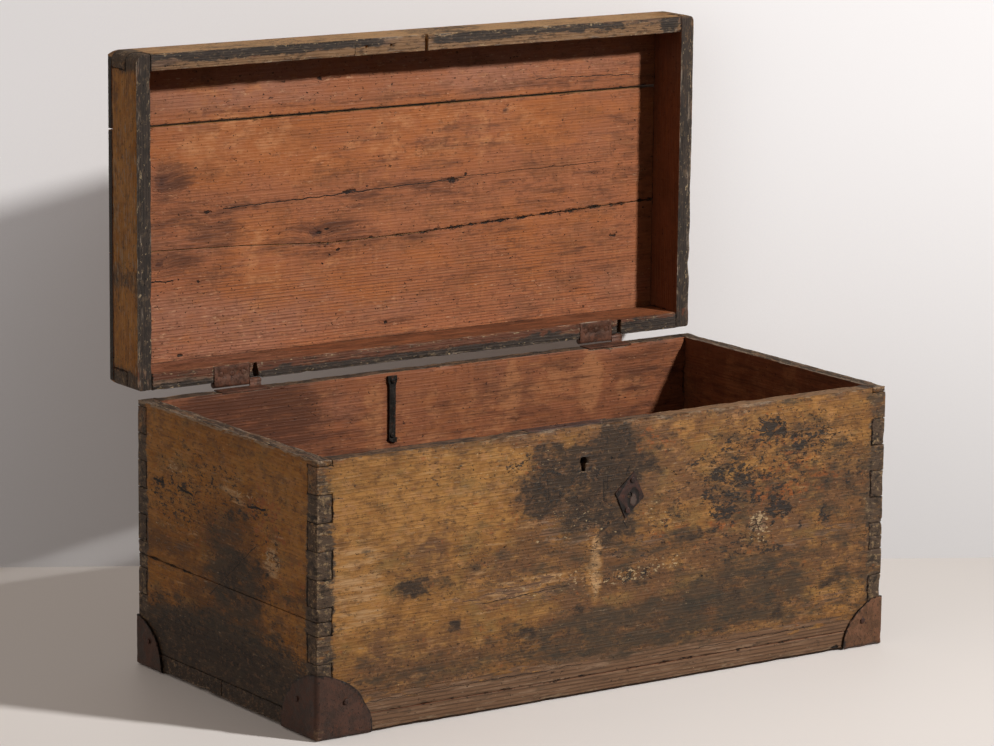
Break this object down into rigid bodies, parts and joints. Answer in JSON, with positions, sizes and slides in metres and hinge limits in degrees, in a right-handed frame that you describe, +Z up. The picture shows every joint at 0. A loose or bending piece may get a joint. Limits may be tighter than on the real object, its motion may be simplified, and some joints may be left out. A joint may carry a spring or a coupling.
{
  "type": "metal-bound chest",
  "caption": "Old pine plank chest with finger-jointed corners, iron corner caps, a let-in box lock and a hinged lid that stands open.",
  "frame": {"origin": "on the floor, under the middle of the box round the part with its lid standing open", "axes": "+X along the front to the right as seen from the front, +Y from the front to the back, +Z up"},
  "size_m": [0.809, 0.4716, 0.721],
  "materials": {
    "painted_pine": "worn ochre paint over pine planks",
    "stained_pine": "red-brown stain, rubbed bare at the edges",
    "bare_pine": "dull, stained with age",
    "sheet_iron": "sheet iron, evenly rusted",
    "wrought_iron": "wrought iron, dark with rust",
    "black_iron": "blackened iron"
  },
  "bodies": {
    "chest": {"front_wall": "painted_pine", "back_wall": "painted_pine", "left_wall_upper": "painted_pine", "left_wall_lower": "painted_pine", "right_wall_upper": "painted_pine", "right_wall_lower": "painted_pine", "bottom_board_front": "bare_pine", "bottom_board_rear": "bare_pine", "bottom_nails": "wrought_iron", "cap_front_left": "sheet_iron", "cap_front_right": "sheet_iron", "cap_back_left": "sheet_iron", "cap_back_right": "sheet_iron", "cap_nails": "wrought_iron", "lock_case": "wrought_iron", "lock_cover": "wrought_iron", "lock_nails": "wrought_iron", "diamond_plate": "wrought_iron", "diamond_nails": "wrought_iron", "back_strap": "black_iron", "strap_nails": "wrought_iron", "chest_leaf_left": "wrought_iron", "chest_leaf_right": "wrought_iron", "hinge_pin_left": "wrought_iron", "hinge_pin_right": "wrought_iron", "chest_leaf_nails": "wrought_iron"},
    "lid": {"lid_leaf_left": "wrought_iron", "lid_leaf_right": "wrought_iron", "lid_leaf_nails": "wrought_iron", "lid_front_rail": "stained_pine", "lid_back_rail": "stained_pine", "lid_left_rail": "stained_pine", "lid_right_rail": "stained_pine", "lid_plank_front": "painted_pine", "lid_plank_middle": "painted_pine", "lid_plank_rear": "painted_pine", "lid_nails": "wrought_iron"},
    "bolt": {"lock_bolt": "wrought_iron"}
  },
  "joints": [
    {"name": "lid_hinge", "type": "hinge", "parent": "chest", "child": "lid", "pos_m": [0, 0.16675, 0.323], "axis": [-1, 0, 0], "range_deg": [-90, 0]},
    {"name": "lock_bolt_slide", "type": "slide", "parent": "chest", "child": "bolt", "axis": [-1, 0, 0], "range_m": [0, 0.026]}
  ]
}
